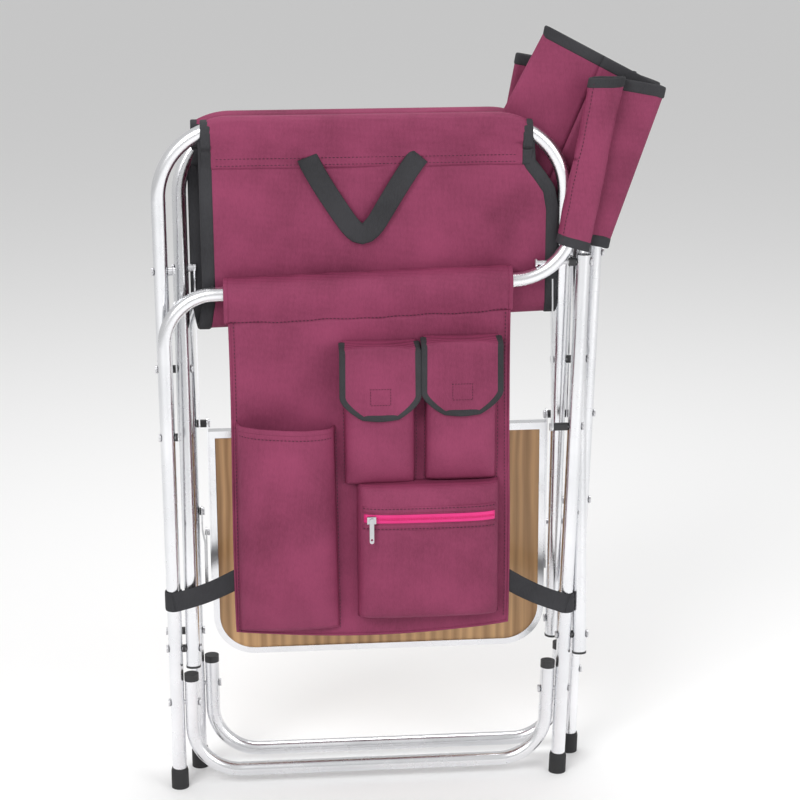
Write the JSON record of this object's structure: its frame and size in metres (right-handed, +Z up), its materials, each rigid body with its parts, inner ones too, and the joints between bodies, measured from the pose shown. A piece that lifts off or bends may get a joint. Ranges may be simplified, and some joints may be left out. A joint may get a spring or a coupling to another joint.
{
  "type": "director chair",
  "caption": "Folding aluminium director chair with plum fabric, side table and pocket organiser, stored folded flat.",
  "frame": {"origin": "centre of the folded chair's footprint box, on the floor", "axes": "+X to the rear of the chair, +Y from the organiser side to the table side, +Z up"},
  "size_m": [0.5524, 0.1192, 0.8536],
  "materials": {
    "polished_tube": "polished",
    "black_plastic": "satin",
    "rubber": "matte",
    "rivet_steel": "polished",
    "plum_fabric": "woven",
    "black_webbing": "woven",
    "zip_pink": "satin",
    "wood": "satin"
  },
  "bodies": {
    "near_frame": {"near_side_tube": "polished_tube", "near_rear_leg": "polished_tube", "near_base_bar": "polished_tube", "near_feet": "rubber", "near_bar_plugs": "black_plastic", "near_frame_rivets": "rivet_steel", "near_pivot_rivets": "rivet_steel", "near_spacers": "black_plastic", "near_arm_pad": "plum_fabric", "organiser_panel": "plum_fabric", "bottle_pocket": "plum_fabric", "phone_pocket_front": "plum_fabric", "phone_pocket_rear": "plum_fabric", "zip_pocket": "plum_fabric", "zipper_tape": "zip_pink", "tie_strap_front": "black_webbing", "tie_strap_rear": "black_webbing", "near_post_sleeve": "plum_fabric"},
    "flap_front": {"phone_flap_front": "plum_fabric"},
    "flap_rear": {"phone_flap_rear": "plum_fabric"},
    "slider": {"zip_slider": "rivet_steel"},
    "pull": {"zip_pull": "rivet_steel"},
    "near_links": {"near_link_front": "polished_tube", "near_link_rear": "polished_tube"},
    "x_leg_1": {"far_rail_tube": "polished_tube", "far_rail_plugs": "black_plastic", "centre_rivets": "rivet_steel", "centre_spacers": "black_plastic", "far_link_studs": "rivet_steel"},
    "x_leg_2": {"near_rail_tube": "polished_tube", "near_rail_plugs": "black_plastic", "near_link_studs": "rivet_steel"},
    "far_frame": {"far_side_tube": "polished_tube", "far_rear_leg": "polished_tube", "far_base_bar": "polished_tube", "far_feet": "rubber", "far_bar_plugs": "black_plastic", "far_frame_rivets": "rivet_steel", "far_pivot_rivets": "rivet_steel", "far_spacers": "black_plastic", "far_arm_pad": "plum_fabric", "far_post_sleeve": "plum_fabric"},
    "far_links": {"far_link_front": "polished_tube", "far_link_rear": "polished_tube"},
    "table": {"table_board": "wood", "table_rim": "polished_tube", "table_side_rails": "polished_tube", "table_brace_rivets": "rivet_steel"},
    "upper_braces_body": {"upper_braces": "polished_tube"},
    "lower_braces_body": {"lower_braces": "polished_tube"},
    "seat_near": {"seat_near": "plum_fabric"},
    "seat_far": {"seat_far": "plum_fabric"},
    "handle_near": {"carry_handle_near": "black_webbing"},
    "handle_far": {"carry_handle_far": "black_webbing"},
    "back_1": {"back_panel_1": "plum_fabric"},
    "back_2": {"back_panel_2": "plum_fabric"},
    "back_3": {"back_panel_3": "plum_fabric"},
    "back_4": {"back_panel_4": "plum_fabric"},
    "back_5": {"back_panel_5": "plum_fabric"}
  },
  "joints": [
    {"name": "fold", "type": "hinge", "parent": "near_frame", "child": "x_leg_1", "pos_m": [-0.26401, -0.0136, 0.171], "axis": [-1, 0, 0], "range_deg": [0, 55.12], "deforming": ["seat_near", "seat_far", "carry_handle_near", "carry_handle_far", "back_panel_1", "back_panel_2", "back_panel_3", "back_panel_4", "back_panel_5"]},
    {"name": "centre", "type": "hinge", "parent": "x_leg_1", "child": "x_leg_2", "pos_m": [-0.26401, 0.0144, 0.49278], "axis": [1, 0, 0], "range_deg": [0, 110.26]},
    {"name": "far_pivot", "type": "hinge", "parent": "x_leg_2", "child": "far_frame", "pos_m": [-0.26401, 0.0424, 0.171], "axis": [-1, 0, 0], "range_deg": [0, 55.13]},
    {"name": "near_link", "type": "hinge", "parent": "near_frame", "child": "near_links", "pos_m": [-0.26401, -0.0136, 0.42126], "axis": [-1, 0, 0], "range_deg": [0, 94.61]},
    {"name": "far_link", "type": "hinge", "parent": "far_frame", "child": "far_links", "pos_m": [-0.26401, 0.0424, 0.42126], "axis": [1, 0, 0], "range_deg": [0, 94.61]},
    {"name": "table_fold", "type": "hinge", "parent": "far_frame", "child": "table", "pos_m": [-0.26401, 0.0424, 0.42126], "axis": [1, 0, 0], "range_deg": [0, 90]},
    {"name": "upper_brace", "type": "hinge", "parent": "far_frame", "child": "upper_braces_body", "pos_m": [-0.26401, 0.0424, 0.3166], "axis": [1, 0, 0], "range_deg": [0, 139.33]},
    {"name": "lower_brace", "type": "hinge", "parent": "table", "child": "lower_braces_body", "pos_m": [-0.26401, 0.044, 0.2904], "axis": [-1, 0, 0], "range_deg": [0, 125.7]},
    {"name": "seat_near_turn", "type": "hinge", "parent": "x_leg_2", "child": "seat_near", "pos_m": [-0.26401, -0.00935, 0.76575], "axis": [1, 0, 0], "range_deg": [-0.01, 21.99]},
    {"name": "seat_middle", "type": "hinge", "parent": "seat_near", "child": "seat_far", "pos_m": [-0.26401, 0.0144, 0.52752], "axis": [1, 0, 0], "range_deg": [-154.22, 0]},
    {"name": "handle_near_swing", "type": "hinge", "parent": "seat_near", "child": "handle_near", "pos_m": [-0.26401, -0.00998, 0.73192], "axis": [-1, 0, 0], "range_deg": [0, 90]},
    {"name": "handle_far_swing", "type": "hinge", "parent": "seat_far", "child": "handle_far", "pos_m": [-0.26401, 0.03878, 0.73192], "axis": [1, 0, 0], "range_deg": [0, 90]},
    {"name": "back_root", "type": "hinge", "parent": "near_frame", "child": "back_1", "pos_m": [0.18529, -0.0136, 0.6345], "axis": [0.1874, 0, 0.9823], "range_deg": [0, 86.75]},
    {"name": "back_crease_1", "type": "hinge", "parent": "back_1", "child": "back_2", "pos_m": [0.27842, 0.0026, 0.79184], "axis": [-0.3305, 0, -0.9438], "range_deg": [0, 178.51]},
    {"name": "back_crease_2", "type": "hinge", "parent": "back_2", "child": "back_3", "pos_m": [0.15901, 0.0139, 0.8548], "axis": [0.4664, 0, 0.8846], "range_deg": [0, 178.51]},
    {"name": "back_crease_3", "type": "hinge", "parent": "back_3", "child": "back_4", "pos_m": [0.26732, 0.0377, 0.79769], "axis": [-0.3305, 0, -0.9438], "range_deg": [0, 178.51]},
    {"name": "back_crease_4", "type": "hinge", "parent": "back_4", "child": "back_5", "pos_m": [0.13569, 0.0544, 0.8228], "axis": [-0.1874, 0, -0.9823], "range_deg": [0, 178.51]},
    {"name": "flap_front_lift", "type": "hinge", "parent": "near_frame", "child": "flap_front", "pos_m": [-0.26401, -0.0291, 0.5273], "axis": [-1, 0, 0], "range_deg": [0, 85]},
    {"name": "flap_rear_lift", "type": "hinge", "parent": "near_frame", "child": "flap_rear", "pos_m": [-0.26401, -0.0291, 0.5313], "axis": [-1, 0, 0], "range_deg": [0, 85]},
    {"name": "zip_run", "type": "slide", "parent": "near_frame", "child": "slider", "axis": [1, 0, 0], "range_m": [0, 0.13]},
    {"name": "pull_swing", "type": "hinge", "parent": "slider", "child": "pull", "pos_m": [-0.04101, -0.0582, 0.3335], "axis": [-1, 0, 0], "range_deg": [0, 85]}
  ],
  "couplings": [
    {"joint": "centre", "follows": "fold", "ratio": 2},
    {"joint": "far_pivot", "follows": "fold", "ratio": 1},
    {"joint": "near_link", "follows": "fold", "ratio": 1.7161},
    {"joint": "far_link", "follows": "fold", "ratio": 1.7161},
    {"joint": "upper_brace", "follows": "table_fold", "ratio": 1.548},
    {"joint": "lower_brace", "follows": "table_fold", "ratio": 1.3965},
    {"joint": "seat_near_turn", "follows": "fold", "ratio": 0.3988},
    {"joint": "seat_middle", "follows": "fold", "ratio": -2.7976},
    {"joint": "back_root", "follows": "fold", "ratio": 1.5737},
    {"joint": "back_crease_1", "follows": "fold", "ratio": 3.2381},
    {"joint": "back_crease_2", "follows": "fold", "ratio": 3.2381},
    {"joint": "back_crease_3", "follows": "fold", "ratio": 3.2381},
    {"joint": "back_crease_4", "follows": "fold", "ratio": 3.2381}
  ]
}
